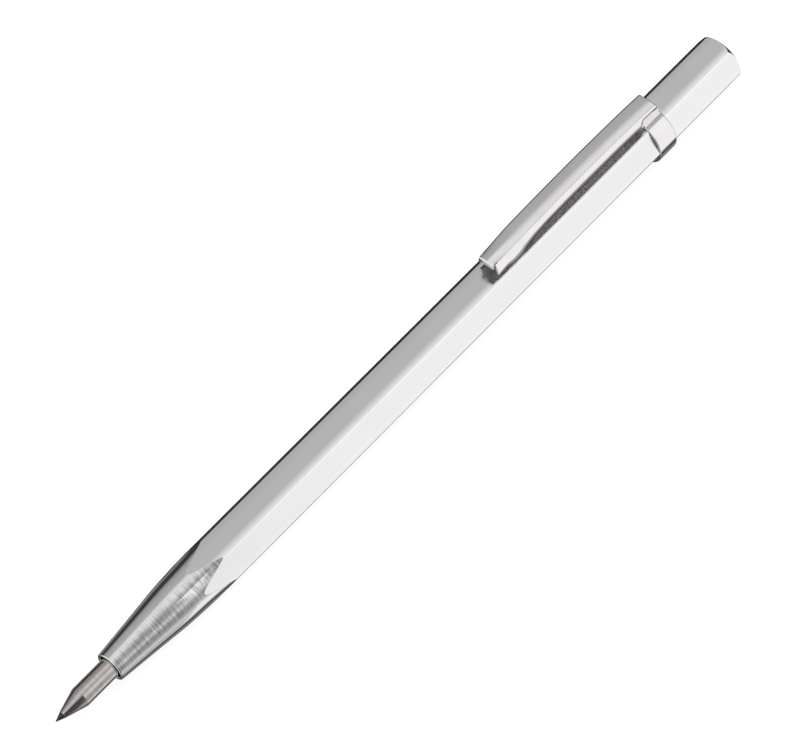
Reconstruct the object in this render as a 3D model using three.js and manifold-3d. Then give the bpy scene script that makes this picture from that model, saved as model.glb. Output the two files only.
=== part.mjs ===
// Engraving pen: a pocket scriber with a hexagonal handle, a pressed clip and a hard point.
// Millimetres, +Z up. The pen lies along X with its point at -X, and the clip is on top.
import * as THREE from "three";
import { mergeVertices } from "three/addons/utils/BufferGeometryUtils.js";
import Module from "manifold-3d";

const wasm = await Module();
wasm.setup();

// Driving sizes. Stations along the pen are measured from the apex of the point.
const acrossFlats = 7.1;
const totalLength = 135.4;
const running = 0.02;
const jointGap = 0.05;

const pointBase = 1.3;
const pointRadius = 0.52;
const pointTipRadius = 0.04;
const pointStemRadius = 0.34;
const pointStemEnd = 3.4;
const brazeThickness = 0.06;

const shankRadius = 1.5;
const shankFrontRadius = 0.55;
const shankConeEnd = 4.65;
const shankPastCollet = 0.85;
const shankEndBevel = 0.25;

const noseFace = 10.3;
const noseRadius = 2.25;
const noseEdgeBreak = 0.12;
const mouthRadius = 1.76;
const mouthBevel = 0.1;
const mouthEnd = 16.0;
const boreRadius = 2.2;
const barrelCorner = 0.18;
const neckRise = 0.15;
const rearBevel = 0.2;

const colletLength = 11.4;
const colletSlit = 0.3;
const colletSlitLength = 7.6;
const stopLength = 4.5;
const stopBevel = 0.3;

const capLength = 15.15;
const capCorner = 0.42;
const capChamfer = 0.42;
const spigotLength = 8.8;
const spigotBevel = 0.4;
const grooveFront = 3.2;
const grooveWidth = 0.75;
const ringSection = 0.58;

const sheet = 0.45;
const bandLength = 3.4;
const bandOverCap = 0.5;
const bandSeam = 0.14;
const armTopWidth = 2.4;
const armSheet = 0.4;
const armBend = 0.45;
const armCrown = 0.1;
const wallBulge = 2.2;
const armFootHalf = 1.8;
const rootFootHalf = 1.4;
const rootLength = 0.95;
const rootTopEnd = 3.35;
const armLength = 30.1;
const lipReach = 0.45;
const lipWidth = 2.66;
const lipDrop = 1.2;

// Fits that follow from the sizes above.
const flat = acrossFlats / 2;
const neckRadius = flat + neckRise;
const bandInside = neckRadius + running;
const bandOutside = bandInside + sheet;
const axisHeight = bandOutside;
const colletFront = mouthEnd + jointGap;
const colletEnd = colletFront + colletLength;
const shankEnd = colletEnd + shankPastCollet;
const stopFront = shankEnd + jointGap;
const capFront = totalLength - capLength;
const barrelEnd = capFront - jointGap;
const bandEnd = capFront + bandOverCap;
const bandFront = bandEnd - bandLength;
const armRoot = bandFront - rootLength;
const armFront = armRoot - armLength;
const lipFront = armFront - lipReach;
const boreFit = boreRadius - running;
const grooveRadius = boreFit - ringSection - running;

// The turned nose: a long cone that flares out into the corners of the hexagon.
// Each later row is a station and the radius there, counted from the flat.
const noseFlare = [
  [22.9, -0.13],
  [25.2, -0.02],
  [26.8, 0.07],
  [28.2, 0.18],
  [29.4, 0.3],
  [30.6, 0.44],
  [31.8, 0.61],
];
const noseProfile = [
  [noseFace, noseRadius - noseEdgeBreak],
  [noseFace + noseEdgeBreak, noseRadius],
  ...noseFlare.map(([x, rise]) => [x, flat + rise]),
];

// The clip's side view: distance from the arm's root, and height over the handle's flat.
const armTops = fromRoot([
  [-30.1, 3.02],
  [-28.4, 3.11],
  [-25.4, 3.31],
  [-21.4, 3.53],
  [-16.4, 3.67],
  [-10.4, 3.75],
  [-5.4, 3.69],
  [0, 3.53],
  [3.35, 3.3],
  [4.4, 3.23],
]);
const armFeet = fromRoot([
  [-30.1, 0.8],
  [-28.2, 0.94],
  [-27.2, 0.35],
  [-26.3, 0.06],
  [-25.3, 0.06],
  [-24.2, 1.28],
  [-22.7, 1.65],
  [-20.6, 2.0],
  [-18.4, 2.07],
  [-4.4, 2.07],
  [-1.4, 1.95],
  [0, 1.45],
]);

function fromRoot(table) {
  return table.map(([x, rise]) => [armRoot + x, flat + rise]);
}

function at(table, x) {
  let i = 1;
  while (i < table.length - 1 && x > table[i][0]) i++;
  const [x0, v0] = table[i - 1];
  const [x1, v1] = table[i];
  return v0 + ((v1 - v0) * (x - x0)) / (x1 - x0);
}

// Solids are kept in pen stations until place() moves them into the part's frame.
function solid(geometry) {
  const bare = geometry.clone();
  bare.deleteAttribute("normal");
  bare.deleteAttribute("uv");
  const merged = mergeVertices(bare, 1e-4);
  const vertProperties = new Float32Array(merged.attributes.position.array);
  const triVerts = new Uint32Array(merged.index.array);
  const made = new wasm.Manifold(new wasm.Mesh({ numProp: 3, vertProperties, triVerts }));
  if (made.volume() > 0) return made;
  for (let i = 0; i < triVerts.length; i += 3) {
    const swap = triVerts[i];
    triVerts[i] = triVerts[i + 1];
    triVerts[i + 1] = swap;
  }
  return new wasm.Manifold(new wasm.Mesh({ numProp: 3, vertProperties, triVerts }));
}

function cut(body, ...tools) {
  return tools.reduce((rest, tool) => rest.subtract(tool), body);
}

function join(...bodies) {
  return bodies.reduce((sum, body) => sum.add(body));
}

// A body turned about the pen's axis, from a closed outline of [station, radius].
function turned(outline, sides = 72) {
  const points = outline.map(([x, r]) => new THREE.Vector2(r, x));
  points.push(points[0].clone());
  const geometry = new THREE.LatheGeometry(points, sides);
  geometry.rotateZ(-Math.PI / 2);
  geometry.rotateX(Math.PI / 2);
  return solid(geometry);
}

// What a lathe takes off outside a radius, between two stations.
function turnedDown(x0, x1, radius) {
  return turned([[x0, radius], [x0, acrossFlats], [x1, acrossFlats], [x1, radius]], 96);
}

// A hexagonal bar with a flat on top and rounded corners, between two stations.
function hexBar(x0, x1, half, corner) {
  const shape = new THREE.Shape();
  const centre = (half - corner) / Math.cos(Math.PI / 6);
  for (let i = 0; i < 6; i++) {
    const a = (i * Math.PI) / 3;
    for (let j = 0; j <= 4; j++) {
      const b = a + ((j - 2) * Math.PI) / 12;
      const y = centre * Math.cos(a) + corner * Math.cos(b);
      const z = centre * Math.sin(a) + corner * Math.sin(b);
      if (i === 0 && j === 0) shape.moveTo(y, z);
      else shape.lineTo(y, z);
    }
  }
  shape.closePath();
  return solid(alongPen(shape, x0, x1));
}

// An outline in the pen's cross-section (y, z), drawn out between two stations.
function alongPen(shape, x0, x1) {
  const geometry = new THREE.ExtrudeGeometry(shape, { depth: x1 - x0, bevelEnabled: false });
  geometry.applyMatrix4(new THREE.Matrix4().set(0, 0, 1, x0, 1, 0, 0, 0, 0, 1, 0, 0, 0, 0, 0, 1));
  return geometry;
}

function box(x0, x1, y0, y1, z0, z1) {
  const geometry = new THREE.BoxGeometry(x1 - x0, y1 - y0, z1 - z0);
  geometry.translate((x0 + x1) / 2, (y0 + y1) / 2, (z0 + z1) / 2);
  return solid(geometry);
}

// An outline in the pen's side view (x, z), drawn out to both sides of the middle.
function acrossPen(points, half) {
  const shape = new THREE.Shape(points.map(([x, z]) => new THREE.Vector2(x, z)));
  const geometry = new THREE.ExtrudeGeometry(shape, { depth: 2 * half, bevelEnabled: false });
  geometry.applyMatrix4(new THREE.Matrix4().set(1, 0, 0, 0, 0, 0, 1, -half, 0, 1, 0, 0, 0, 0, 0, 1));
  return solid(geometry);
}

// The clip's channel section at one station: crowned top, bent edges, bulged side walls.
function channelSection(top, foot, footHalf) {
  const rows = [];
  for (const y of [0, 0.5, 1]) {
    const slope = Math.atan((4 * armCrown * y) / armTopWidth);
    rows.push([(-y * armTopWidth) / 2, -armCrown * y * y, Math.PI / 2 + slope]);
  }
  for (const [radius, angles] of [[armBend, [116, 133, 150]], [wallBulge, [160, 170, 180]]]) {
    const [y, z, facing] = rows[rows.length - 1];
    for (const degrees of angles) {
      const a = (degrees * Math.PI) / 180;
      const dy = radius * (Math.cos(a) - Math.cos(facing));
      const dz = radius * (Math.sin(a) - Math.sin(facing));
      rows.push([y + dy, z + dz, a]);
    }
  }
  const outer = rows.map(([y, z]) => [y, top + z]);
  const inner = rows.map(([y, z, a]) => [y - armSheet * Math.cos(a), top + z - armSheet * Math.sin(a)]);
  outer.push([-footHalf, foot]);
  inner.push([-footHalf + armSheet, foot]);
  const mirror = ([y, z]) => [-y, z];
  return [
    ...outer.slice().reverse(),
    ...outer.slice(1).map(mirror),
    ...inner.slice(1).reverse().map(mirror),
    ...inner,
  ];
}

// A solid whose section changes along the pen, from sections with the same number of points.
function lofted(stations) {
  const n = stations[0].section.length;
  const positions = [];
  const index = [];
  for (const { x, section } of stations) {
    for (const [y, z] of section) positions.push(x, y, z);
  }
  for (let s = 0; s < stations.length - 1; s++) {
    for (let i = 0; i < n; i++) {
      const a = s * n + i;
      const b = s * n + ((i + 1) % n);
      index.push(a, b, a + n, b, b + n, a + n);
    }
  }
  const ends = THREE.ShapeUtils.triangulateShape(
    stations[0].section.map(([y, z]) => new THREE.Vector2(y, z)),
    [],
  );
  const last = (stations.length - 1) * n;
  for (const [a, b, c] of ends) {
    index.push(a, b, c);
    index.push(last + a, last + c, last + b);
  }
  const geometry = new THREE.BufferGeometry();
  geometry.setAttribute("position", new THREE.Float32BufferAttribute(positions, 3));
  geometry.setIndex(index);
  return solid(geometry);
}

function channel(x0, x1, footAt, footHalfAt) {
  const cuts = new Set([x0, x1]);
  for (const [x] of [...armTops, ...armFeet]) {
    if (x > x0 && x < x1) cuts.add(x);
  }
  const stations = [...cuts].sort((a, b) => a - b);
  return lofted(stations.map((x) => (
    { x, section: channelSection(at(armTops, x), footAt(x), footHalfAt(x)) }
  )));
}

// The barrel, bored through from the rear up to the lip of the nose.
function barrel() {
  const outside = [
    ...noseProfile,
    [noseProfile[noseProfile.length - 1][0], acrossFlats],
    [noseFace - 1, acrossFlats],
    [noseFace - 1, noseRadius - noseEdgeBreak],
  ];
  const bore = turned([
    [noseFace - 1, 0],
    [noseFace - 1, mouthRadius + mouthBevel],
    [noseFace, mouthRadius + mouthBevel],
    [noseFace + mouthBevel, mouthRadius],
    [mouthEnd, mouthRadius],
    [mouthEnd, boreRadius],
    [barrelEnd - rearBevel, boreRadius],
    [barrelEnd, boreRadius + rearBevel],
    [barrelEnd + 1, boreRadius + rearBevel],
    [barrelEnd + 1, 0],
  ]);
  const neck = turnedDown(bandFront - jointGap, barrelEnd + 1, neckRadius);
  return cut(hexBar(noseFace, barrelEnd, flat, barrelCorner), turned(outside, 120), neck, bore);
}

function hardPoint() {
  return turned([
    [0, 0],
    [0, pointTipRadius],
    [pointBase, pointRadius],
    [pointBase, pointStemRadius],
    [pointStemEnd, pointStemRadius],
    [pointStemEnd, 0],
  ], 48);
}

// The film of hard solder that fills the socket round the point's stem.
function braze() {
  const outer = pointStemRadius + brazeThickness;
  return turned([
    [pointBase + brazeThickness, pointStemRadius],
    [pointBase + brazeThickness, outer],
    [pointStemEnd + brazeThickness, outer],
    [pointStemEnd + brazeThickness, 0],
    [pointStemEnd, 0],
    [pointStemEnd, pointStemRadius],
  ], 48);
}

function tipShank() {
  const socket = pointStemRadius + brazeThickness;
  return turned([
    [pointBase, socket],
    [pointBase, shankFrontRadius],
    [shankConeEnd, shankRadius],
    [shankEnd - shankEndBevel, shankRadius],
    [shankEnd, shankRadius - shankEndBevel],
    [shankEnd, 0],
    [pointStemEnd + brazeThickness, 0],
    [pointStemEnd + brazeThickness, socket],
  ]);
}

// The split sleeve in the nose that grips the shank.
function collet() {
  const end = colletEnd;
  const sleeve = turned([
    [colletFront, shankRadius + 0.12],
    [colletFront, boreFit - 0.15],
    [colletFront + 0.15, boreFit],
    [end - 0.15, boreFit],
    [end, boreFit - 0.15],
    [end, shankRadius + running],
    [colletFront + 0.12, shankRadius + running],
  ]);
  const slits = [0, 1, 2].map((i) => {
    const half = colletSlit / 2;
    const slit = box(colletFront - 1, colletFront + colletSlitLength, -half, half, 0, acrossFlats);
    return slit.rotate([i * 120 + 60, 0, 0]);
  });
  return cut(sleeve, ...slits);
}

// The plug that the shank's rear end bears on.
function stopPlug() {
  const end = stopFront + stopLength;
  return turned([
    [stopFront, 0],
    [stopFront, boreFit - stopBevel],
    [stopFront + stopBevel, boreFit],
    [end - stopBevel, boreFit],
    [end, boreFit - stopBevel],
    [end, 0.8],
    [end - 0.6, 0],
  ]);
}

function endCap() {
  const chamferEdge = flat - capChamfer;
  const outside = turned([
    [totalLength + 1, chamferEdge - 1],
    [totalLength + 1, acrossFlats],
    [totalLength - 2, acrossFlats],
    [totalLength - 2, chamferEdge + 2],
  ], 120);
  const front = capFront - spigotLength;
  const spigot = turned([
    [front, 0],
    [front, boreFit - spigotBevel],
    [front + spigotBevel, boreFit],
    [front + grooveFront, boreFit],
    [front + grooveFront, grooveRadius],
    [front + grooveFront + grooveWidth, grooveRadius],
    [front + grooveFront + grooveWidth, boreFit],
    [capFront + 1, boreFit],
    [capFront + 1, 0],
  ]);
  const neck = turnedDown(capFront - 1, bandEnd + jointGap, neckRadius);
  return join(cut(hexBar(capFront, totalLength, flat, capCorner), outside, neck), spigot);
}

function gripRing() {
  const middle = grooveRadius + ringSection / 2;
  const geometry = new THREE.TorusGeometry(middle, ringSection / 2, 14, 64);
  geometry.rotateY(Math.PI / 2);
  geometry.translate(capFront - spigotLength + grooveFront + grooveWidth / 2, 0, 0);
  return solid(geometry);
}

// The band is a round ring on the handle's turned neck. It runs from one wall of the arm
// to the other, and its ends meet underneath. Behind the root the walls slope to its rear edge.
function clipBand() {
  const gap = rootFootHalf - armSheet;
  const ring = cut(
    turned([[bandFront, bandInside], [bandFront, bandOutside], [bandEnd, bandOutside], [bandEnd, bandInside]], 96),
    box(bandFront - 1, bandEnd + 1, -gap, gap, 0, acrossFlats),
    box(bandFront - 1, bandEnd + 1, -bandSeam / 2, bandSeam / 2, -acrossFlats, 0),
  );
  const seat = flat + (bandInside - flat) * 0.5;
  const foot = [[armRoot, at(armFeet, armRoot)], [bandFront, seat], [bandEnd, seat]];
  const lean = [[armRoot, armFootHalf], [bandFront, rootFootHalf], [bandEnd, rootFootHalf]];
  const cuts = [armRoot, bandFront, armRoot + rootTopEnd, bandEnd];
  const root = lofted(cuts.map((x) => (
    { x, section: channelSection(at(armTops, x), at(foot, x), at(lean, x)) }
  )));
  const slope = acrossPen([
    [armRoot + rootTopEnd, at(armTops, armRoot + rootTopEnd)],
    [bandEnd, flat + sheet],
    [bandEnd + 1, flat + sheet],
    [bandEnd + 1, 2 * acrossFlats],
    [armRoot + rootTopEnd, 2 * acrossFlats],
  ], acrossFlats);
  return join(ring, cut(root, slope));
}

// The arm runs from the front of the root to a lip that is bent down between its walls.
function clipArm() {
  const body = channel(armFront, armRoot - jointGap, (x) => at(armFeet, x), () => armFootHalf);
  const top = at(armTops, armFront) - armCrown * 0.3;
  const bend = lipReach + 0.35;
  const outer = [];
  const inner = [];
  for (let i = 0; i <= 6; i++) {
    const a = (i * Math.PI) / 12;
    const r = bend - armSheet;
    outer.push([lipFront + bend - bend * Math.cos(a), top - bend + bend * Math.sin(a)]);
    inner.push([lipFront + bend - r * Math.cos(a), top - bend + r * Math.sin(a)]);
  }
  const lip = acrossPen([
    [lipFront, top - lipDrop],
    ...outer,
    [armFront + 0.8, top],
    [armFront + 0.8, top - armSheet],
    ...inner.slice().reverse(),
    [lipFront + armSheet, top - lipDrop],
  ], lipWidth / 2);
  return join(body, lip);
}

const group = new THREE.Group();

function place(name, body, look) {
  const made = body.getMesh();
  const geometry = new THREE.BufferGeometry();
  geometry.setAttribute("position", new THREE.Float32BufferAttribute(made.vertProperties, 3));
  geometry.setIndex(new THREE.Uint32BufferAttribute(made.triVerts, 1));
  geometry.translate(-totalLength / 2, 0, axisHeight);
  const plain = geometry.toNonIndexed();
  plain.computeVertexNormals();
  const mesh = new THREE.Mesh(plain, new THREE.MeshStandardMaterial(look));
  mesh.name = name;
  group.add(mesh);
}

const aluminium = { color: 0xc9cacd, metalness: 1, roughness: 0.25 };
const chrome = { color: 0xd2ccd2, metalness: 1, roughness: 0.12 };

place("barrel", barrel(), aluminium);
place("end_cap", endCap(), aluminium);
place("grip_ring", gripRing(), { color: 0x1d1d1f, metalness: 0, roughness: 0.7 });
place("clip_band", clipBand(), chrome);
place("clip_arm", clipArm(), chrome);
place("tip_shank", tipShank(), { color: 0xb0a8a6, metalness: 1, roughness: 0.35 });
place("hard_point", hardPoint(), { color: 0x2b2a2c, metalness: 0.6, roughness: 0.4 });
place("point_braze", braze(), { color: 0xb59b5a, metalness: 1, roughness: 0.4 });
place("collet", collet(), { color: 0xb8923f, metalness: 1, roughness: 0.35 });
place("stop_plug", stopPlug(), { color: 0x8d8f93, metalness: 1, roughness: 0.4 });

export default group;
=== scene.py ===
"""Engraving pen, dressed over its CAD frame. Stations are in millimetres from the point's apex along the
pen's axis, and heights are above that axis. place() turns them into the frame's metres."""
import math

import bmesh
import bpy
from mathutils import Matrix, Vector


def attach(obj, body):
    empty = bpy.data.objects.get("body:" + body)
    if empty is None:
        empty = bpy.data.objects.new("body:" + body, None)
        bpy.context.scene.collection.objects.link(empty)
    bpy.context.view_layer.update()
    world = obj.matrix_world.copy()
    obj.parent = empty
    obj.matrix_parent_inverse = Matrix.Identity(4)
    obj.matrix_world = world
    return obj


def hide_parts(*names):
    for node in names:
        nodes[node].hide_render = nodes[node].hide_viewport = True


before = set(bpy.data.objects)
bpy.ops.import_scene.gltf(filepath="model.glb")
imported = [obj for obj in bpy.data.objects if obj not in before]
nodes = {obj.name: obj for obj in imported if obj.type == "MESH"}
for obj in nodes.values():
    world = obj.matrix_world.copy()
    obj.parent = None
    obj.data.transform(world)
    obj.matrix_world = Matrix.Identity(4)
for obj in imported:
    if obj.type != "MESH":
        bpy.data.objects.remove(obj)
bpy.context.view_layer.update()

MM = 0.001
LENGTH = 135.4

# The bar's flats are FLAT from its axis, and pieces that fit into one another are RUNNING apart.
FLAT = 3.55
RUNNING = 0.02

# Soft rolls beside the bar's corners, as (corner radius, roll radius, roll angle in degrees), and how
# much of a corner's painted highlight and wear the rolls and the turned rows beside a corner have.
BAR_CORNER = (0.5, 8.5, 5.0)
CAP_CORNER = (0.5, 9.0, 5.0)
ROLL_HIGHLIGHT_AND_WEAR = 0.35
TURNED_HIGHLIGHT_AND_WEAR = 0.4

# The clip's round band, and the neck under it that is turned on the barrel and on the cap.
BAND_FRONT = 117.35
BAND_END = 120.75
NECK_RADIUS = FLAT + 0.15
NECK_GAP = 0.05
NECK_STEP = 0.02
SHEET = 0.45
INSIDE = NECK_RADIUS + RUNNING
OUTSIDE = INSIDE + SHEET
AXIS_HEIGHT = OUTSIDE
BAND_SEAM = 0.07
BAND_BEVEL = 0.16
CREASE = 0.08

# The bar's first row on the flats is EDGE_STEP from the turned surface. Its ends have a broken edge.
EDGE_STEP = 0.05
EDGE_BREAK = 0.05
EDGE_BREAK_LENGTH = 0.06

# The barrel. The nose's profile is (station, radius): a cone that flares where it meets the flats.
NOSE_FACE = 10.3
NOSE_RADIUS = 2.25
NOSE_BREAK = 0.12
NOSE_FILLET = 0.05
NOSE_PROFILE = [
    (NOSE_FACE + NOSE_BREAK, NOSE_RADIUS),
    (16.6, 2.83),
    (22.9, FLAT - 0.13),
    (25.2, FLAT - 0.02),
    (26.8, FLAT + 0.07),
    (28.2, FLAT + 0.18),
    (29.4, FLAT + 0.3),
    (30.6, FLAT + 0.44),
    (31.8, FLAT + 0.61),
    (32.6, FLAT + 0.75),
]
NOSE_ROUND_END = 25.4
NOSE_STATIONS = [11.0 + 0.8 * i for i in range(18)] + [NOSE_ROUND_END]
NOSE_BLEND_ROWS = 7
BAR_STATIONS = [33.2, 48.0, 70.0, 95.0, 112.0]
MOUTH_RADIUS = 1.76
MOUTH_BEVEL = 0.1
MOUTH_STEP = 0.02
MOUTH_END = 16.0
BORE_RADIUS = 2.2
BARREL_END = 120.2
REAR_BEVEL = 0.2

# The end cap. Its rounded chamfer is part of an ellipse, and its spigot has a groove for the rubber ring.
CAP_FRONT = 120.25
CAP_STATIONS = [133.6, 130.0, 125.0]
CAP_FACE_RINGS = (0.25, 1.3, 2.3)
CAP_FACE_RADIUS = FLAT - 0.54
CAP_ROUND_ROWS = 8
CAP_ROUND_REACH = 1.1
CAP_ROUND_DEPTH = 1.45
SPIGOT_RADIUS = BORE_RADIUS - RUNNING
SPIGOT_FRONT = CAP_FRONT - 8.8
SPIGOT_SHOULDER = 0.3
SPIGOT_BEVEL = 0.4
SPIGOT_FACE_RING = 0.4
SPIGOT_FILLET = 0.04
GROOVE = (SPIGOT_FRONT + 3.2, SPIGOT_FRONT + 3.95)
GROOVE_RADIUS = 1.58

# The shank and its hard point. NEAR_AXIS is the radius at which a turned outline starts and ends, and
# SHANK_RING is one more row on the shank, just in front of the nose.
NEAR_AXIS = 0.001
SHANK_RADIUS = 1.5
SHANK_FACE = 1.3
SHANK_FACE_RADIUS = 0.55
SHANK_CONE_END = 4.65
SHANK_RING = 10.0
SHANK_END = 28.3
SHANK_BEVEL = 0.25
SHANK_FILLET = 0.035
SHANK_COLUMNS = 96
SOCKET_RADIUS = 0.4
SOCKET_END = 3.46
POINT_TIP_RADIUS = 0.04
POINT_KNEE = (0.45, 0.205)
POINT_RADIUS = 0.52
POINT_STEM_RADIUS = 0.34
POINT_END = 3.4
POINT_FILLET = 0.03
POINT_COLUMNS = 64

# The clip's arm is a channel. From its crowned top down, the bent edge ends where the sheet faces BEND_END
# degrees from +Y, and the bulge of the wall ends where it faces BULGE_END. The wall goes on to its foot.
ARM_SHEET = 0.4
ARM_TOP_HALF = 1.22
ARM_BEND = 0.45
BEND_END = 125
WALL_BULGE = 0.5
BULGE_END = 168
ARM_BEVEL = 0.06

# How far the crown falls to the top's edges, on the arm and at its front, and how long the change is.
# The crown's rows start at a share of the top's half width, and its inner side is a little narrower.
ARM_CROWN = 0.1
FRONT_CROWN = 0.3
CROWN_REACH = 5.0
CROWN_START = 0.93
CROWN_INNER = 0.98

# Each foot stands further out by WALL_LEAN times the height that it is below WALL_FOOT.
ARM_FOOT_HALF = 1.78
WALL_FOOT = FLAT + 1.76
WALL_LEAN = 0.09

# The lip at the arm's front is folded down, LIP_DROP long. Slots through the columns SLOT_COLUMNS of the
# section part it from the walls as far back as SLOT_END.
ARM_FRONT = 86.3
LIP_FRONT = 85.85
LIP_BEND = 0.45
LIP_BEND_DEGREES = (0, 12, 24, 36, 48, 57)
LIP_TOP = ARM_FRONT + 0.35
LIP_DROP = 1.0
LIP_HALF = 1.33
LIP_HOLLOW = 0.25
SLOT_END = 86.8
SLOT_COLUMNS = (13, 14, 15)

# The arm's top and feet as (station, height), and the stations of its rows, which are close together at
# the slots and where the feet come down to the flat.
ARM_ROOT = 116.4
ARM_ROOT_GAP = 0.003
ARM_TOPS = [
    (ARM_FRONT, FLAT + 3.02),
    (88.0, FLAT + 3.11),
    (91.0, FLAT + 3.31),
    (95.0, FLAT + 3.53),
    (100.0, FLAT + 3.67),
    (106.0, FLAT + 3.75),
    (111.0, FLAT + 3.69),
    (ARM_ROOT, FLAT + 3.53),
    (119.75, FLAT + 3.3),
]
ARM_FEET = [
    (ARM_FRONT, FLAT + 0.8),
    (88.2, FLAT + 0.94),
    (89.2, FLAT + 0.35),
    (90.1, FLAT + 0.06),
    (91.1, FLAT + 0.06),
    (92.2, FLAT + 0.75),
    (93.7, FLAT + 1.3),
    (95.8, FLAT + 1.66),
    (98.0, WALL_FOOT),
    (112.0, WALL_FOOT),
    (115.0, FLAT + 1.66),
    (ARM_ROOT, FLAT + 1.45),
]
ARM_STATIONS = [
    ARM_FRONT, 86.44, 86.64, SLOT_END, 87.2, 87.7, 88.2, 88.5, 88.85, 89.2, 89.6, 90.1, 90.6, 91.1, 91.35,
    91.6, 91.9, 92.2, 92.7, 93.2, 93.7, 94.7, 95.8, 96.9, 98.0, 100.0, 102.0, 104.0, 106.0, 108.0,
    110.0, 112.0, 113.5, 114.5, 115.0, 115.5, 116.0, ARM_ROOT - ARM_ROOT_GAP,
]

# The raised root that joins the arm to the band: its rows in front of the band, counted from the arm's
# end, its rows over the band, how far its feet stand above the crease, and how far its rear leans.
ROOT_FOOT_HALF = 1.4
ROOT_OFFSETS = (0.0, 0.2, 0.4, 0.6, 0.76, 0.88)
BAND_STATIONS = (BAND_FRONT, BAND_FRONT + 0.25, 118.3, 119.2, 120.1, BAND_END - 0.2, BAND_END)
ROOT_RISE = 0.04
ROOT_REAR_SLOPE = 1.0

# Edges of the sheet that turn by more than SHARP_DEGREES are bevelled, apart from those within
# JOINT_REACH of the plane where arm and root meet.
SHARP_DEGREES = 38
JOINT_REACH = 0.03


def place(x, y, z):
    return Vector(((x - LENGTH / 2) * MM, y * MM, (z + AXIS_HEIGHT) * MM))


def smooth_table(table, x):
    """A monotone cubic through the table's points, so that shading shows no facets along the pen."""
    n = len(table)
    if x <= table[0][0]:
        return table[0][1]
    if x >= table[-1][0]:
        return table[-1][1]
    slopes = [
        (table[i + 1][1] - table[i][1]) / (table[i + 1][0] - table[i][0])
        for i in range(n - 1)
    ]
    tangents = [slopes[0]]
    for i in range(1, n - 1):
        a, b = slopes[i - 1], slopes[i]
        tangents.append(0.0 if a * b <= 0 else 2 * a * b / (a + b))
    tangents.append(slopes[-1])
    i = max(k for k in range(n - 1) if table[k][0] <= x)
    step = table[i + 1][0] - table[i][0]
    t = (x - table[i][0]) / step
    return (
        (2 * t**3 - 3 * t**2 + 1) * table[i][1]
        + (t**3 - 2 * t**2 + t) * step * tangents[i]
        + (-2 * t**3 + 3 * t**2) * table[i + 1][1]
        + (t**3 - t**2) * step * tangents[i + 1]
    )


def station_of_radius(radius):
    """Where the nose's flare has grown to the radius."""
    low, high = NOSE_PROFILE[2][0], NOSE_PROFILE[-1][0]
    for _ in range(40):
        middle = (low + high) / 2
        if smooth_table(NOSE_PROFILE, middle) < radius:
            low = middle
        else:
            high = middle
    return (low + high) / 2


def hex_columns(half, corner, flat_steps=8, roll_steps=4, arc_steps=5):
    """Points (y, z) round a hexagonal section with a flat on top, each with its corner's painted highlight
    and wear.
    """
    radius, roll, roll_degrees = corner
    d = math.radians(roll_degrees)
    thirty = math.pi / 6
    along = roll * math.sin(d) + radius * (math.sin(thirty) - math.sin(d))
    down = roll * (1 - math.cos(d)) + radius * (math.cos(d) - math.cos(thirty))
    apex_v = half - down
    start = apex_v * math.tan(thirty) - along
    quarter = [(start * i / flat_steps, half, 0.0) for i in range(flat_steps + 1)]
    for i in range(1, roll_steps + 1):
        a = d * i / roll_steps
        # Across a roll, the share of the corner's painted highlight and wear grows.
        highlight_and_wear = ROLL_HIGHLIGHT_AND_WEAR * i / roll_steps
        quarter.append((start + roll * math.sin(a), half - roll * (1 - math.cos(a)), highlight_and_wear))
    u, v, _ = quarter[-1]
    for i in range(1, arc_steps + 1):
        a = d + (thirty - d) * i / arc_steps
        quarter.append((
            u + radius * (math.sin(a) - math.sin(d)),
            v - radius * (math.cos(d) - math.cos(a)),
            1.0,
        ))
    side = [(-p, q, w) for p, q, w in quarter[:0:-1]] + quarter[:-1]
    out = []
    for k in range(6):
        a = -k * math.pi / 3
        for p, q, w in side:
            y = p * math.cos(a) - q * math.sin(a)
            z = p * math.sin(a) + q * math.cos(a)
            out.append((y, z, w))
    return out


def fillet(points, radius, steps=3):
    """An open outline of (x, r) with each inner corner rounded, over less than half of either side."""
    out = [points[0]]
    for i in range(1, len(points) - 1):
        p, c, n = Vector(points[i - 1]), Vector(points[i]), Vector(points[i + 1])
        a, b = (p - c), (n - c)
        reach = min(radius, a.length * 0.45, b.length * 0.45)
        start, end = c + a.normalized() * reach, c + b.normalized() * reach
        for k in range(steps + 1):
            t = k / steps
            q = start * (1 - t) ** 2 + c * 2 * t * (1 - t) + end * t * t
            out.append((q.x, q.y))
    out.append(points[-1])
    return out


def finish_mesh(name, bm, body, replaced, materials):
    """A smooth object from the mesh, which rides on its body in place of the replaced CAD nodes."""
    mesh = bpy.data.meshes.new(name)
    bm.normal_update()
    bm.to_mesh(mesh)
    bm.free()
    mesh.polygons.foreach_set("use_smooth", [True] * len(mesh.polygons))
    for material in materials:
        mesh.materials.append(material)
    obj = bpy.data.objects.new(name, mesh)
    bpy.context.scene.collection.objects.link(obj)
    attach(obj, body)
    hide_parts(*replaced)
    return obj


def weighted(obj):
    """Flat faces keep their shading, and only the marked edges are sharp."""
    modifier = obj.modifiers.new("normals", "WEIGHTED_NORMAL")
    modifier.mode = "FACE_AREA"
    modifier.weight = 50
    modifier.keep_sharp = True
    return obj


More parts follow.
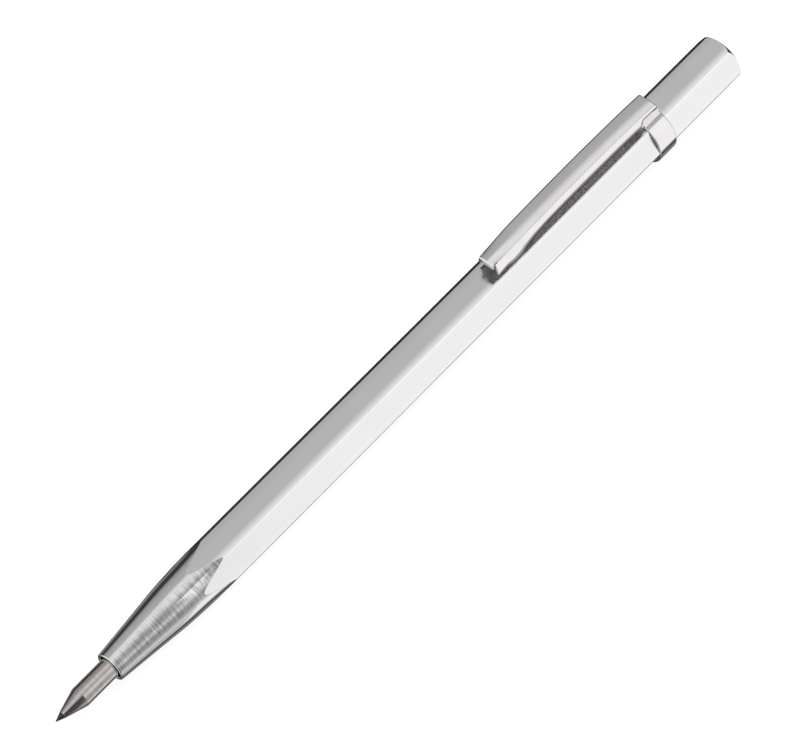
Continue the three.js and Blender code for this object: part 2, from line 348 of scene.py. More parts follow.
def skin(rows, wrap=False, sharp_rows=(), strip_materials=None):
    """A closed surface through rings of points (x, y, z), which may have a corner's painted highlight and
    wear as a fourth value.
    A ring of one point is a pole."""
    bm = bmesh.new()
    layer = bm.verts.layers.float.new("corner")
    rings = []
    for row in rows:
        ring = []
        for x, y, z, *highlight_and_wear in row:
            v = bm.verts.new(place(x, y, z))
            v[layer] = highlight_and_wear[0] if highlight_and_wear else 0.0
            ring.append(v)
        rings.append(ring)
    count = len(rows)
    for i in range(count if wrap else count - 1):
        a, b = rings[i], rings[(i + 1) % count]
        n = max(len(a), len(b))
        for j in range(n):
            k = (j + 1) % n
            if len(a) == 1:
                face = bm.faces.new((a[0], b[k], b[j]))
            elif len(b) == 1:
                face = bm.faces.new((a[j], a[k], b[0]))
            else:
                face = bm.faces.new((a[j], a[k], b[k], b[j]))
            if strip_materials:
                face.material_index = strip_materials[i]
    for i in sharp_rows:
        ring = rings[i]
        for j, v in enumerate(ring):
            edge = bm.edges.get((v, ring[(j + 1) % len(ring)]))
            if edge:
                edge.smooth = False
    bmesh.ops.recalc_face_normals(bm, faces=bm.faces)
    return bm


def circle(x, radius, angles):
    """A ring round the axis."""
    return [(x, radius * math.cos(a), radius * math.sin(a)) for a in angles]


def even_angles(count):
    return [2 * math.pi * i / count for i in range(count)]


def necked(y, z):
    """A point of the bar's section where its corners are turned down to the neck."""
    scale = min(1.0, NECK_RADIUS / math.hypot(y, z))
    return y * scale, z * scale


def bar_rings(columns, stations):
    """Rings of the plain bar."""
    return [[(x, y, z, w) for y, z, w in columns] for x in stations]


def neck_rings(columns, shoulder, end):
    """The turned neck from beside its shoulder to its end, where the edge is broken."""
    way = math.copysign(1.0, end - shoulder)
    rings = []
    for x in (shoulder + way * NECK_STEP, end - way * EDGE_BREAK_LENGTH):
        rings.append([(x, *necked(y, z)) for y, z, _ in columns])
    shrink = 1 - EDGE_BREAK / FLAT
    rings.append([(end, *necked(y * shrink, z * shrink)) for y, z, _ in columns])
    return rings


def build_barrel(materials):
    columns = hex_columns(FLAT, BAR_CORNER)
    angles = [math.atan2(z, y) for y, z, _ in columns]
    meets = [station_of_radius(math.hypot(y, z)) for y, z, _ in columns]
    mouth = fillet(
        [
            (MOUTH_END, MOUTH_RADIUS),
            (NOSE_FACE + MOUTH_BEVEL, MOUTH_RADIUS),
            (NOSE_FACE, MOUTH_RADIUS + MOUTH_BEVEL),
            (NOSE_FACE, NOSE_RADIUS - NOSE_BREAK),
            (NOSE_FACE + NOSE_BREAK, NOSE_RADIUS),
            NOSE_PROFILE[1],
        ],
        NOSE_FILLET,
    )
    rows = [circle(x, r, angles) for x, r in mouth[:-1]]
    rows += [circle(x, smooth_table(NOSE_PROFILE, x), angles) for x in NOSE_STATIONS]
    for i in range(1, NOSE_BLEND_ROWS + 1):
        t = i / NOSE_BLEND_ROWS
        ring = []
        for (y, z, w), a, meet in zip(columns, angles, meets):
            x = NOSE_ROUND_END + (meet - NOSE_ROUND_END) * t
            r = smooth_table(NOSE_PROFILE, x) if i < NOSE_BLEND_ROWS else math.hypot(y, z)
            # The turned rows beside a corner keep part of its painted highlight and wear.
            ring.append((x, r * math.cos(a), r * math.sin(a), w * TURNED_HIGHLIGHT_AND_WEAR))
        rows.append(ring)
    nose_edge = len(rows) - 1
    rows.append([(meet + EDGE_STEP, y, z, w) for (y, z, w), meet in zip(columns, meets)])
    neck_front = BAND_FRONT - NECK_GAP
    rows += bar_rings(columns, [*BAR_STATIONS, neck_front])
    shoulder = len(rows) - 1
    rows += neck_rings(columns, neck_front, BARREL_END)
    bar_end = len(rows) - 1
    bore = [
        (BARREL_END, BORE_RADIUS + REAR_BEVEL),
        (BARREL_END - REAR_BEVEL, BORE_RADIUS),
        (MOUTH_END, BORE_RADIUS),
        (MOUTH_END, MOUTH_RADIUS + MOUTH_STEP),
    ]
    rows += [circle(x, r, angles) for x, r in bore]
    strips = [0 if nose_edge <= i < bar_end else 1 for i in range(len(rows))]
    sharp = [0, nose_edge, shoulder, shoulder + 1, *range(bar_end, len(rows))]
    bm = skin(rows, wrap=True, sharp_rows=sharp, strip_materials=strips)
    return weighted(finish_mesh("barrel_bar", bm, "handle", ["barrel"], materials))


def build_cap(materials):
    columns = hex_columns(FLAT, CAP_CORNER)
    angles = [math.atan2(z, y) for y, z, _ in columns]
    rows = [[(LENGTH, 0.0, 0.0)]]
    rows += [circle(LENGTH, r, angles) for r in (*CAP_FACE_RINGS, CAP_FACE_RADIUS)]
    for i in range(1, CAP_ROUND_ROWS + 1):
        t = i / CAP_ROUND_ROWS
        ring = []
        for (y, z, w), a in zip(columns, angles):
            r = CAP_FACE_RADIUS + (math.hypot(y, z) - CAP_FACE_RADIUS) * t
            out = min(1.0, (r - CAP_FACE_RADIUS) / CAP_ROUND_REACH)
            drop = CAP_ROUND_DEPTH * (1 - math.sqrt(1 - out * out))
            # The rounded chamfer's rows keep part of the corner's painted highlight and wear.
            ring.append((LENGTH - drop, r * math.cos(a), r * math.sin(a), w * TURNED_HIGHLIGHT_AND_WEAR))
        rows.append(ring)
    round_edge = len(rows) - 1
    meets = [p[0] for p in rows[-1]]
    rows.append([(meet - EDGE_STEP, y, z, w) for (y, z, w), meet in zip(columns, meets)])
    neck_end = BAND_END + NECK_GAP
    rows += bar_rings(columns, [*CAP_STATIONS, neck_end])
    shoulder = len(rows) - 1
    rows += neck_rings(columns, neck_end, CAP_FRONT)
    bar_end = len(rows) - 1
    spigot = fillet(
        [
            (CAP_FRONT, SPIGOT_RADIUS + SPIGOT_SHOULDER),
            (CAP_FRONT, SPIGOT_RADIUS),
            (GROOVE[1], SPIGOT_RADIUS),
            (GROOVE[1], GROOVE_RADIUS),
            (GROOVE[0], GROOVE_RADIUS),
            (GROOVE[0], SPIGOT_RADIUS),
            (SPIGOT_FRONT + SPIGOT_BEVEL, SPIGOT_RADIUS),
            (SPIGOT_FRONT, SPIGOT_RADIUS - SPIGOT_BEVEL),
            (SPIGOT_FRONT, SPIGOT_FACE_RING),
        ],
        SPIGOT_FILLET,
    )
    rows += [circle(x, r, angles) for x, r in spigot]
    rows.append([(SPIGOT_FRONT, 0.0, 0.0)])
    strips = [0 if round_edge <= i < bar_end else 1 for i in range(len(rows))]
    bm = skin(rows, sharp_rows=[round_edge, shoulder, shoulder + 1, bar_end], strip_materials=strips)
    return weighted(finish_mesh("cap_bar", bm, "cap", ["end_cap"], materials))


def turned(outline, edge_radius, column_count):
    """A solid turned about the axis, from an outline of (x, r) between two points near the axis."""
    angles = even_angles(column_count)
    rounded = fillet(outline, edge_radius)
    rows = [circle(x, r, angles) for x, r in rounded[1:-1]]
    front, rear = rounded[0][0], rounded[-1][0]
    return skin([[(front, 0.0, 0.0)], *rows, [(rear, 0.0, 0.0)]])


def build_shank(materials):
    outline = [
        (SOCKET_END, NEAR_AXIS),
        (SOCKET_END, SOCKET_RADIUS),
        (SHANK_FACE, SOCKET_RADIUS),
        (SHANK_FACE, SHANK_FACE_RADIUS),
        (SHANK_CONE_END, SHANK_RADIUS),
        (SHANK_RING, SHANK_RADIUS),
        (SHANK_END - SHANK_BEVEL, SHANK_RADIUS),
        (SHANK_END, SHANK_RADIUS - SHANK_BEVEL),
        (SHANK_END, NEAR_AXIS),
    ]
    bm = turned(outline, SHANK_FILLET, SHANK_COLUMNS)
    return weighted(finish_mesh("shank_rod", bm, "tip", ["tip_shank"], materials))


def build_point(materials):
    outline = [
        (0.0, NEAR_AXIS),
        (0.0, POINT_TIP_RADIUS),
        POINT_KNEE,
        (SHANK_FACE, POINT_RADIUS),
        (SHANK_FACE, POINT_STEM_RADIUS),
        (POINT_END, POINT_STEM_RADIUS),
        (POINT_END, NEAR_AXIS),
    ]
    bm = turned(outline, POINT_FILLET, POINT_COLUMNS)
    return weighted(finish_mesh("point_cone", bm, "tip", ["hard_point"], materials))


def mirrored(half):
    """The section's other side as well, so that the pairs run from one edge over the top to the other."""
    return half + [p and ((-p[0][0], p[0][1]), (-p[1][0], p[1][1])) for p in half[-2::-1]]


def crown_at(x):
    """How far the clip's top falls towards its edges. It is rounder near the lip."""
    t = min(1.0, max(0.0, (x - ARM_FRONT) / CROWN_REACH))
    return FRONT_CROWN + (ARM_CROWN - FRONT_CROWN) * t


def crown_pairs(top, crown=ARM_CROWN, steps=6):
    """The sheet's pairs (outer point, inner point) from beside the bent edge to the middle of the top."""
    pairs = []
    for i in range(steps + 1):
        y = -ARM_TOP_HALF * CROWN_START * (1 - i / steps)
        z = top - crown * (y / ARM_TOP_HALF) ** 2
        pairs.append(((y, z), (y * CROWN_INNER, z - ARM_SHEET)))
    return pairs


def ring_pairs(arc_steps=18, crease_steps=4):
    """The round band from its seam underneath up to the crease at the arm's wall."""
    across, high = ROOT_FOOT_HALF + CREASE, OUTSIDE + CREASE
    centre_z = math.sqrt(high**2 - across**2)
    reach = math.atan2(centre_z, across)
    start = math.asin(BAND_SEAM / OUTSIDE) - math.pi / 2
    pairs = []
    for k in range(arc_steps + 1):
        a = start + (reach - start) * k / arc_steps
        pairs.append((
            (-OUTSIDE * math.cos(a), OUTSIDE * math.sin(a)),
            (-INSIDE * math.cos(a), INSIDE * math.sin(a)),
        ))
    for k in range(1, crease_steps + 1):
        t = k / crease_steps
        a = -reach * (1 - t)
        deep = CREASE + SHEET + (ARM_SHEET - SHEET) * t
        pairs.append((
            (-across + CREASE * math.cos(a), centre_z + CREASE * math.sin(a)),
            (-across + deep * math.cos(a), centre_z + deep * math.sin(a)),
        ))
    return pairs


def sheet_bmesh(stations):
    """A closed sheet through stations. Each is a list of pairs (outer point, inner point), or None where
    the sheet is cut away. Sharp edges are marked for the bevel, or stay sharp where arm and root meet."""
    bm = bmesh.new()
    grid = []
    for station in stations:
        row = []
        for pair in station:
            if pair is None:
                row.append(None)
            else:
                row.append((bm.verts.new(place(*pair[0])), bm.verts.new(place(*pair[1]))))
        grid.append(row)
    edges = {}
    for i in range(len(grid) - 1):
        for j in range(len(grid[i]) - 1):
            corners = [grid[i][j], grid[i][j + 1], grid[i + 1][j + 1], grid[i + 1][j]]
            if any(c is None for c in corners):
                continue
            bm.faces.new([c[0] for c in corners])
            bm.faces.new([c[1] for c in reversed(corners)]).material_index = 1
            for a, b in zip(corners, corners[1:] + corners[:1]):
                key = frozenset((id(a), id(b)))
                edges[key] = None if key in edges else (a, b)
    for pair in edges.values():
        if pair:
            a, b = pair
            bm.faces.new((a[0], b[0], b[1], a[1]))
    loose = [v for v in bm.verts if not v.link_faces]
    bmesh.ops.delete(bm, geom=loose, context="VERTS")
    bmesh.ops.recalc_face_normals(bm, faces=bm.faces)
    bm.normal_update()
    layer = bm.edges.layers.float.new("bevel_weight_edge")
    joint = place(ARM_ROOT, 0, 0).x
    for edge in bm.edges:
        at_joint = all(abs(v.co.x - joint) < JOINT_REACH * MM for v in edge.verts)
        if edge.is_manifold and edge.calc_face_angle() > math.radians(SHARP_DEGREES):
            if at_joint:
                edge.smooth = False
            else:
                edge[layer] = 1.0
    return bm


def at_station(x, pairs):
    """A section's pairs as points (x, y, z) at the station."""
    return [None if p is None else ((x, *p[0]), (x, *p[1])) for p in pairs]


def soft_edges(obj, width, segments=2):
    """Rounds the edges that sheet_bmesh() has marked."""
    bevel = obj.modifiers.new("edges", "BEVEL")
    bevel.width = width * MM
    bevel.segments = segments
    bevel.limit_method = "WEIGHT"
    bevel.harden_normals = True
    return obj


def arc_degrees(start, end, steps):
    return [start + (end - start) * i / steps for i in range(1, steps + 1)]


def arm_half_section(top, foot, foot_half=ARM_FOOT_HALF, crown=ARM_CROWN, wall_steps=4):
    """The channel's section from a foot up its bulged wall and bent edge to the middle of its top. A wall
    whose foot stands further out than its bulge is upright at the foot."""
    start = 90 + math.degrees(math.atan(2 * crown / ARM_TOP_HALF))
    curve = [(-ARM_TOP_HALF, -crown, math.radians(start))]
    bend = arc_degrees(start, BEND_END, 5)
    bulge = arc_degrees(BEND_END, BULGE_END, 6)
    for radius, angles in ((ARM_BEND, bend), (WALL_BULGE, bulge)):
        y, z, facing = curve[-1]
        for degrees in angles:
            a = math.radians(degrees)
            dy = radius * (math.cos(a) - math.cos(facing))
            dz = radius * (math.sin(a) - math.sin(facing))
            curve.append((y + dy, z + dz, a))
    bent = [
        ((y, top + z), (y - ARM_SHEET * math.cos(a), top + z - ARM_SHEET * math.sin(a)))
        for y, z, a in reversed(curve)
    ]
    high_y, high_z = bent[0][0]
    power = 2 if foot_half > -high_y else 1
    wall = []
    for i in range(wall_steps):
        t = i / wall_steps
        y = -foot_half + (high_y + foot_half) * t**power
        z = foot + (high_z - foot) * t
        wall.append(((y, z), (y + ARM_SHEET, z)))
    return wall + bent + crown_pairs(top, crown)


def build_band(materials):
    """The clip's root and ring, as one sheet. The root goes on behind the arm and carries the ring."""
    ring = ring_pairs()
    blanks = [None] * len(ring)
    stations = []
    join_z = ring[-1][0][1]
    front_foot = smooth_table(ARM_FEET, ARM_ROOT)
    for offset in ROOT_OFFSETS:
        x = ARM_ROOT + offset
        t = offset / (BAND_FRONT - ARM_ROOT)
        foot = front_foot + (join_z - front_foot) * (1 - math.sqrt(1 - t * t))
        foot_half = ARM_FOOT_HALF + (ROOT_FOOT_HALF - ARM_FOOT_HALF) * t * t
        half = blanks + arm_half_section(smooth_table(ARM_TOPS, x), foot, foot_half)
        stations.append(at_station(x, mirrored(half)))
    for x in BAND_STATIONS:
        slope = ROOT_REAR_SLOPE * (x - BAND_FRONT) / (BAND_END - BAND_FRONT)
        top = smooth_table(ARM_TOPS, x - slope)
        half = ring + arm_half_section(top, join_z + ROOT_RISE, ROOT_FOOT_HALF)
        stations.append([
            tuple((x - slope * max(0.0, (z - join_z) / (top - join_z)), y, z) for y, z in pair)
            for pair in mirrored(half)
        ])
    bm = sheet_bmesh(stations)
    obj = finish_mesh("clip_band_sheet", bm, "handle", ["clip_band"], materials)
    return soft_edges(obj, BAND_BEVEL, 3)


def lip_row(columns, x, z, a, half_width):
    """One row of the bent lip, where the sheet faces the angle a from the front up to the top."""
    crown = crown_pairs(0.0)
    widen = half_width / abs(crown[0][0][0])
    half = [None] * (columns - len(crown))
    for (y, _), _ in crown:
        fall = FRONT_CROWN * (y / ARM_TOP_HALF) ** 2
        deep = fall + ARM_SHEET
        forward = x - LIP_HOLLOW * (y / ARM_TOP_HALF) ** 2
        half.append((
            (forward + fall * math.cos(a), y * widen, z - fall * math.sin(a)),
            (forward + deep * math.cos(a), y * widen * CROWN_INNER, z - deep * math.sin(a)),
        ))
    return half + [pair and tuple((px, -py, pz) for px, py, pz in pair) for pair in half[-2::-1]]


def build_arm(materials):
    """The arm with its lip. In front of the walls a row has only the top's columns."""
    columns = len(arm_half_section(ARM_TOPS[0][1], ARM_FEET[0][1]))
    narrow = abs(crown_pairs(0.0)[0][0][0])
    low = smooth_table(ARM_TOPS, ARM_FRONT) - LIP_DROP
    bend_z = smooth_table(ARM_TOPS, LIP_TOP) - LIP_BEND
    stations = [lip_row(columns, LIP_FRONT, z, 0.0, LIP_HALF) for z in (low, (low + bend_z) / 2)]
    for degrees in LIP_BEND_DEGREES:
        a = math.radians(degrees)
        x, z = LIP_FRONT + LIP_BEND * (1 - math.cos(a)), bend_z + LIP_BEND * math.sin(a)
        stations.append(lip_row(columns, x, z, a, LIP_HALF))
    for x in ARM_STATIONS:
        foot = smooth_table(ARM_FEET, x)
        foot_half = ARM_FOOT_HALF + WALL_LEAN * (WALL_FOOT - foot)
        half = arm_half_section(smooth_table(ARM_TOPS, x), foot, foot_half, crown_at(x))
        if x < SLOT_END:
            half = [None if i in SLOT_COLUMNS else pair for i, pair in enumerate(half)]
        station = at_station(x, mirrored(half))
        if x < LIP_FRONT + LIP_BEND:
            a = math.acos(1 - (x - LIP_FRONT) / LIP_BEND)
            bent = lip_row(columns, x, bend_z + LIP_BEND * math.sin(a), a, narrow)
            station = [b if b is not None else s for b, s in zip(bent, station)]
        stations.append(station)
    bm = sheet_bmesh(stations)
    obj = finish_mesh("clip_arm_sheet", bm, "clip", ["clip_arm"], materials)
    return soft_edges(obj, ARM_BEVEL)


def rgba(colour):
    """A grey level or a colour as the four numbers that a socket takes."""
    return (*colour, 1.0) if isinstance(colour, tuple) else (colour, colour, colour, 1.0)


def is_output(value):
    return isinstance(value, bpy.types.NodeSocket)


def add_node(tree, kind, inputs=(), **settings):
    """A new node, with a value or another node's output on each of the given (input, value) pairs."""
    made = tree.nodes.new(kind)
    for name, value in settings.items():
        setattr(made, name, value)
    for socket, value in inputs:
        if is_output(value):
            tree.links.new(value, made.inputs[socket])
        else:
            made.inputs[socket].default_value = value
    return made


def mix_colours(tree, factor, a, b):
    made = add_node(tree, "ShaderNodeMix", [("Factor", factor)], data_type="RGBA")
    colour_inputs = [s for s in made.inputs if s.type == "RGBA"]
    for socket, value in zip(colour_inputs, (a, b)):
        if is_output(value):
            tree.links.new(value, socket)
        else:
            socket.default_value = rgba(value)
    return [s for s in made.outputs if s.type == "RGBA"][0]


def colour_ramp(tree, factor, stops):
    """A ramp through stops, each a position with a grey level or a colour."""
    made = add_node(tree, "ShaderNodeValToRGB", [("Fac", factor)])
    elements = made.color_ramp.elements
    while len(elements) < len(stops):
        elements.new(0.5)
    for element, (position, colour) in zip(elements, stops):
        element.position = position
        element.color = rgba(colour)
    return made.outputs["Color"]


class Looks:
    """Builds a node material step by step."""

    def __init__(self, name, metallic):
        self.material = bpy.data.materials.new(name)
        self.material.use_nodes = True
        self.tree = self.material.node_tree
        self.shader = self.tree.nodes["Principled BSDF"]
        self.shader.inputs["Metallic"].default_value = metallic
        self.where = add_node(self.tree, "ShaderNodeTexCoord").outputs["Object"]
        self.normal = None

    def noise(self, stretch, detail=4.0, roughness=0.55):
        """Noise with the given number of grains per metre along x, y and z."""
        mapping = add_node(self.tree, "ShaderNodeMapping", [("Vector", self.where), ("Scale", stretch)])
        where = mapping.outputs["Vector"]
        inputs = [("Vector", where), ("Scale", 1.0), ("Detail", detail), ("Roughness", roughness)]
        return add_node(self.tree, "ShaderNodeTexNoise", inputs).outputs["Fac"]

    def ramp(self, factor, start, end):
        """A blend between two (position, grey level or colour) stops."""
        return colour_ramp(self.tree, factor, [start, end])

    def span(self, factor, low, high, start=0.3, end=0.7):
        """The factor's range from start to end, mapped to the range from low to high."""
        ranges = [("From Min", start), ("From Max", end), ("To Min", low), ("To Max", high)]
        made = add_node(self.tree, "ShaderNodeMapRange", [("Value", factor), *ranges])
        return made.outputs["Result"]

    def times(self, a, b):
        return add_node(self.tree, "ShaderNodeMath", [(0, a), (1, b)], operation="MULTIPLY").outputs["Value"]

    def plus(self, a, b):
        return add_node(self.tree, "ShaderNodeMath", [(0, a), (1, b)], operation="ADD").outputs["Value"]

    def mix(self, factor, a, b):
        return mix_colours(self.tree, factor, a, b)

    def attribute(self, name):
        return add_node(self.tree, "ShaderNodeAttribute", attribute_name=name).outputs["Fac"]

    def bump(self, height, distance):
        """Adds relief of the given height in millimetres on top of the relief so far."""
        inputs = [("Height", height), ("Distance", distance * MM)]
        if self.normal:
            inputs.append(("Normal", self.normal))
        self.normal = add_node(self.tree, "ShaderNodeBump", inputs).outputs["Normal"]
        self.to("Normal", self.normal)

    def to(self, socket, output):
        self.tree.links.new(output, self.shader.inputs[socket])


def drawn_aluminium(name, level):
    """Bar stock with faint drawing streaks and scratches along it, duller on its worn corners, which are
    painted paler as a highlight.
    """
    look = Looks(name, 1.0)
    streaks = look.noise((60, 2600, 2600), detail=3)
    clouds = look.noise((90, 260, 260), detail=5)
    scratches = look.noise((420, 5200, 5200), detail=2)
    corner = look.attribute("corner")
    base = look.ramp(streaks, (0.3, level * 0.985), (0.7, level * 1.008))
    # The corners' paler colour is a painted highlight along the edges; the roughness that they add is wear.
    look.to("Base Color", look.mix(look.times(corner, 0.9), base, min(0.97, level * 1.12)))
    look.to("Roughness", look.plus(look.span(clouds, 0.13, 0.22), look.times(corner, 0.06)))
    look.bump(streaks, 0.00008)
    look.bump(look.ramp(scratches, (0.62, 0.0), (0.7, 1.0)), 0.00004)
    return look.material


def turned_aluminium(name, level, rough_low, rough_high, depth, painted_mark_level):
    """Fine rings all round, with short stronger tool marks on the near side, where their darker and paler
    strokes are painted in as reflection.
    """
    look = Looks(name, 1.0)
    rings = look.noise((3300, 6, 6), detail=3, roughness=0.6)
    strokes = look.noise((4300, 380, 380), detail=4, roughness=0.7)
    clouds = look.noise((300, 300, 300), detail=4)
    # The strokes' dark and pale colour is painted only on the side facing -Y, as painted reflection of the
    # turning marks.
    facing = add_node(look.tree, "ShaderNodeNewGeometry").outputs["Normal"]
    sideways = add_node(look.tree, "ShaderNodeSeparateXYZ", [("Vector", facing)]).outputs["Y"]
    upper = look.span(sideways, 1.0, 0.12, start=-0.4, end=-0.1)
    lower = look.span(sideways, 0.15, 1.0, start=-0.95, end=-0.8)
    painted_near_side = look.times(upper, lower)
    plain = look.ramp(rings, (0.3, level * 0.93), (0.7, level * 1.02))
    marks_and_painted_reflection = look.ramp(strokes, (0.38, painted_mark_level), (0.62, level * 1.08))
    look.to("Base Color", look.mix(painted_near_side, plain, marks_and_painted_reflection))
    look.to("Roughness", look.span(clouds, rough_low, rough_high))
    look.bump(rings, depth)
    look.bump(look.times(strokes, painted_near_side), depth * 1.6)
    return look.material


def shaded(colour, share):
    return tuple(min(1, c * share) for c in colour)


def plated_chrome(name, colour, rough_low, rough_high, metallic=1.0):
    """Plating with cloudy shine, fine grain and the slight waviness of pressed sheet."""
    look = Looks(name, metallic)
    clouds = look.noise((220, 420, 420), detail=5)
    grain = look.noise((2500, 2500, 2500), detail=3)
    waves = look.noise((70, 160, 160), detail=2)
    look.to("Base Color", look.ramp(clouds, (0.3, shaded(colour, 0.96)), (0.7, shaded(colour, 1.02))))
    look.to("Roughness", look.span(clouds, rough_low, rough_high))
    look.bump(grain, 0.0008)
    look.bump(waves, 0.012)
    return look.material


def ground_metal(name, colour, rough_low, rough_high, depth, ring_grains=2600):
    """Ground or turned metal with fine rings round the pen's axis."""
    look = Looks(name, 1.0)
    rings = look.noise((ring_grains, 30, 30), detail=4, roughness=0.65)
    clouds = look.noise((500, 500, 500), detail=4)
    look.to("Base Color", look.ramp(rings, (0.3, shaded(colour, 0.86)), (0.7, shaded(colour, 1.08))))
    look.to("Roughness", look.span(clouds, rough_low, rough_high))
    look.bump(rings, depth)
    return look.material


def dark_hard_metal(name):
    look = Looks(name, 0.9)
    grain = look.noise((9000, 9000, 9000), detail=4)
    rings = look.noise((5200, 60, 60), detail=3)
    look.to("Base Color", look.ramp(grain, (0.3, (0.05, 0.05, 0.055)), (0.7, (0.11, 0.11, 0.12))))
    look.to("Roughness", look.span(rings, 0.3, 0.5))
    look.bump(rings, 0.002)
    return look.material


def matt_rubber(name):
    look = Looks(name, 0.0)
    grain = look.noise((5000, 5000, 5000), detail=5)
    look.to("Base Color", look.ramp(grain, (0.3, (0.02, 0.02, 0.021)), (0.7, (0.04, 0.04, 0.042))))
    look.to("Roughness", look.span(grain, 0.6, 0.8))
    look.bump(grain, 0.004)
    return look.material


def dress_hidden_nodes():
    """The hidden pieces stay CAD nodes, with a better material."""
    for node, material in (
        ("collet", ground_metal("brass_turned", (0.72, 0.53, 0.22), 0.25, 0.38, 0.002, 1800)),
        ("stop_plug", ground_metal("plug_steel_turned", (0.5, 0.51, 0.53), 0.28, 0.42, 0.002, 1800)),
        ("point_braze", ground_metal("braze_metal", (0.68, 0.58, 0.34), 0.35, 0.5, 0.002, 4000)),
        ("grip_ring", matt_rubber("rubber_matt")),
    ):
        mesh = nodes[node].data
        mesh.materials.clear()
        mesh.materials.append(material)


# The studio: what the metal reflects, as (angle round the pen's axis from +Y upwards in degrees, grey
# level).
STUDIO = [
    (2, 0.04), (14, 0.04), (26, 0.33), (40, 0.42), (64, 0.475), (69, 0.68), (75, 0.82), (94, 0.85),
    (104, 0.72), (112, 0.54), (120, 0.4), (132, 0.38), (141, 0.5), (147, 0.68), (154, 0.7), (161, 0.45),
    (170, 0.34), (182, 0.34), (192, 0.48), (205, 0.74), (219, 0.5), (229, 0.5), (235, 0.24), (240, 0.04),
    (247, 0.05), (252, 0.22), (280, 0.22), (290, 0.03), (316, 0.2), (334, 0.32), (350, 0.12), (356, 0.05),
]

# It is bright ahead of the point and dark behind the cap, as (x where that begins, x where it is full,
# grey level), with x from -1 straight ahead to 1 straight behind.
STUDIO_ENDS = [(-0.46, -0.58, 0.9), (0.68, 0.84, 0.05)]

# Upright cards beside the pen that only reflections see, as (name, y, x range, z range, brightness) in
# metres: one for the near flats, a dark one for the far edges and a dark one for the shank's cone.
CARDS = [
    ("bright_card", -0.28, (0.03, 0.36), (-0.3, 0.45), 1.0),
    ("far_card", 0.28, (0.05, 0.6), (-0.6, 0.0), 0.02),
    ("dark_card", -0.28, (-0.6, -0.11), (-0.3, 0.45), 0.07),
]

FLOOR_HALF = 3.0
FLOOR_LEVEL = -0.00005
FLOOR_GREY = 0.8
FLOOR_GLOW = 0.86
FLOOR_SHADOW_GREY = 0.22

LAMP_PLACE = (0.15, -0.1, 0.55)
LAMP_SIZE = (0.5, 0.4)
LAMP_POWER = 3.2

# The camera that was fitted to the photograph. Its back and up are directions.
CAMERA_PLACE = (-0.239349, -0.271759, 0.558252)
CAMERA_BACK = (-0.362258, -0.411275, 0.836434)
CAMERA_UP = (0.658891, 0.521734, 0.541901)
CAMERA_SENSOR = 36.0
CAMERA_LENS = 221.79


def studio_world():
    """The studio for reflections and light, and plain white for the camera."""
    world = bpy.data.worlds.new("studio")
    bpy.context.scene.world = world
    world.use_nodes = True
    tree = world.node_tree
    tree.nodes.clear()
    ray = add_node(tree, "ShaderNodeTexCoord").outputs["Generated"]
    split = add_node(tree, "ShaderNodeSeparateXYZ", [("Vector", ray)]).outputs
    angle = add_node(tree, "ShaderNodeMath", [(0, split["Z"]), (1, split["Y"])], operation="ARCTAN2")
    turns = add_node(tree, "ShaderNodeMath", [(0, angle.outputs[0]), (1, 2 * math.pi)], operation="DIVIDE")
    fraction = add_node(tree, "ShaderNodeMath", [(0, turns.outputs[0])], operation="FRACT")
    colour = colour_ramp(tree, fraction.outputs[0], [(degrees / 360, level) for degrees, level in STUDIO])
    for start, end, level in STUDIO_ENDS:
        inputs = [("Value", split["X"]), ("From Min", start), ("From Max", end)]
        reach = add_node(tree, "ShaderNodeMapRange", inputs).outputs["Result"]
        colour = mix_colours(tree, reach, colour, level)
    seen = add_node(tree, "ShaderNodeBackground", [("Color", rgba(1.0))])
    lit = add_node(tree, "ShaderNodeBackground", [("Color", colour)])
    path = add_node(tree, "ShaderNodeLightPath")
    inputs = [("Fac", path.outputs["Is Camera Ray"]), (1, lit.outputs[0]), (2, seen.outputs[0])]
    mix = add_node(tree, "ShaderNodeMixShader", inputs)
    add_node(tree, "ShaderNodeOutputWorld", [("Surface", mix.outputs[0])])


def plane(name, corners, material):
    mesh = bpy.data.meshes.new(name)
    mesh.from_pydata(corners, [], [(0, 1, 2, 3)])
    mesh.materials.append(material)
    obj = bpy.data.objects.new(name, mesh)
    bpy.context.scene.collection.objects.link(obj)
    return obj


def bare_material(name):
    """A new material without nodes yet."""
    material = bpy.data.materials.new(name)
    material.use_nodes = True
    material.node_tree.nodes.clear()
    return material


def floor():
    """Grey where it throws light back. The camera sees a glow near white with the pen's shadow on it."""
    material = bare_material("floor_white")
    tree = material.node_tree
    plain = add_node(tree, "ShaderNodeBsdfDiffuse", [("Color", rgba(FLOOR_GREY))])
    weak = add_node(tree, "ShaderNodeBsdfDiffuse", [("Color", rgba(FLOOR_SHADOW_GREY))])
    glow = add_node(tree, "ShaderNodeEmission", [("Strength", FLOOR_GLOW)])
    both = add_node(tree, "ShaderNodeAddShader", [(0, weak.outputs[0]), (1, glow.outputs[0])])
    path = add_node(tree, "ShaderNodeLightPath")
    inputs = [("Fac", path.outputs["Is Camera Ray"]), (1, plain.outputs[0]), (2, both.outputs[0])]
    mix = add_node(tree, "ShaderNodeMixShader", inputs)
    add_node(tree, "ShaderNodeOutputMaterial", [("Surface", mix.outputs[0])])
    half = FLOOR_HALF
    corners = [(x, y, FLOOR_LEVEL) for x, y in ((-half, -half), (half, -half), (half, half), (-half, half))]
    plane("floor", corners, material).visible_glossy = False


def card(name, y, x_range, z_range, brightness):
    """An upright card along the pen that only reflections see."""
    material = bare_material(name + "_white")
    glow = add_node(material.node_tree, "ShaderNodeEmission", [("Strength", brightness)])
    add_node(material.node_tree, "ShaderNodeOutputMaterial", [("Surface", glow.outputs[0])])
    (left, right), (low, high) = x_range, z_range
    obj = plane(name, [(left, y, low), (right, y, low), (right, y, high), (left, y, high)], material)
    obj.visible_camera = False
    obj.visible_diffuse = False
    obj.visible_shadow = False
    obj.visible_transmission = False


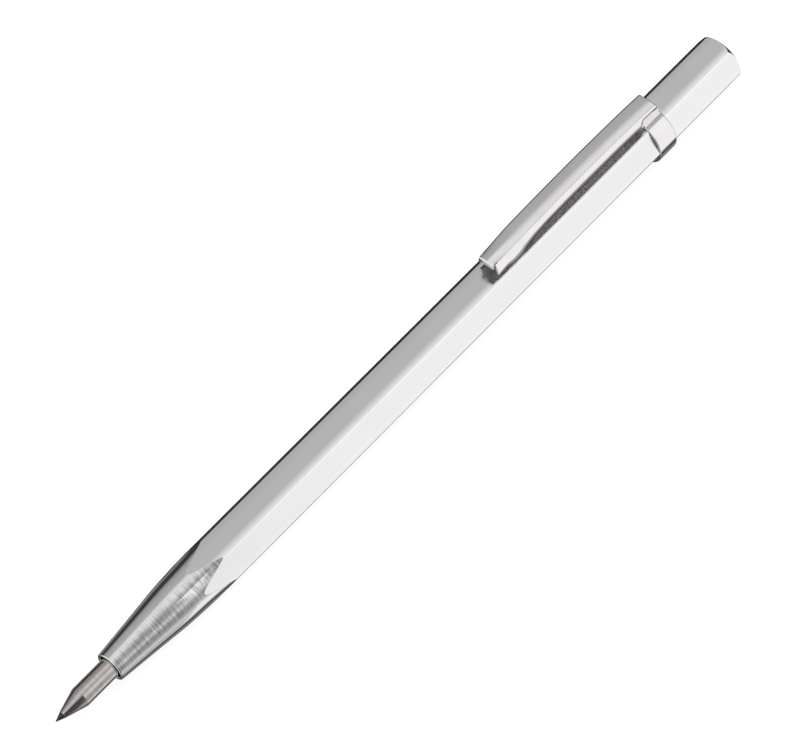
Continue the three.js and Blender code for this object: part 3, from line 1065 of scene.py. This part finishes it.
def lamp():
    """A soft lamp above the pen, which reflections don't see."""
    data = bpy.data.lights.new("softbox", "AREA")
    data.shape = "RECTANGLE"
    data.size, data.size_y = LAMP_SIZE
    data.energy = LAMP_POWER
    obj = bpy.data.objects.new("softbox", data)
    bpy.context.scene.collection.objects.link(obj)
    where = Vector(LAMP_PLACE)
    obj.matrix_world = Matrix.Translation(where) @ (-where).to_track_quat("-Z", "Y").to_matrix().to_4x4()
    obj.visible_glossy = False


def camera():
    data = bpy.data.cameras.new("camera")
    data.sensor_fit = "HORIZONTAL"
    data.sensor_width = CAMERA_SENSOR
    data.lens = CAMERA_LENS
    data.clip_start, data.clip_end = 0.01, 10.0
    obj = bpy.data.objects.new("camera", data)
    bpy.context.scene.collection.objects.link(obj)
    back = Vector(CAMERA_BACK).normalized()
    right = Vector(CAMERA_UP).cross(back).normalized()
    turn = Matrix((right, back.cross(right), back)).transposed().to_4x4()
    obj.matrix_world = Matrix.Translation(CAMERA_PLACE) @ turn
    bpy.context.scene.camera = obj


aluminium = drawn_aluminium("aluminium_drawn", 0.86)
cap_aluminium = drawn_aluminium("aluminium_cap", 0.87)
# The last number of each turned material is the darkest grey of its painted reflection strokes.
nose_aluminium = turned_aluminium("aluminium_turned", 0.86, 0.07, 0.13, 0.0016, 0.5)
chamfer_aluminium = turned_aluminium("aluminium_chamfer", 0.86, 0.16, 0.24, 0.0015, 0.78)
chrome = plated_chrome("chrome_plate", (0.87, 0.85, 0.865), 0.06, 0.11)
chrome_inside = plated_chrome("chrome_inside", (0.68, 0.65, 0.64), 0.4, 0.5, 0.55)
steel = ground_metal("steel_ground", (0.63, 0.585, 0.575), 0.13, 0.22, 0.0013)
hard_metal = dark_hard_metal("hard_metal")

build_barrel([aluminium, nose_aluminium])
build_cap([cap_aluminium, chamfer_aluminium])
build_shank([steel])
build_point([hard_metal])
build_band([chrome, chrome_inside])
build_arm([chrome, chrome_inside])
dress_hidden_nodes()

studio_world()
floor()
for values in CARDS:
    card(*values)
lamp()
camera()
bpy.context.scene.view_settings.view_transform = "Standard"
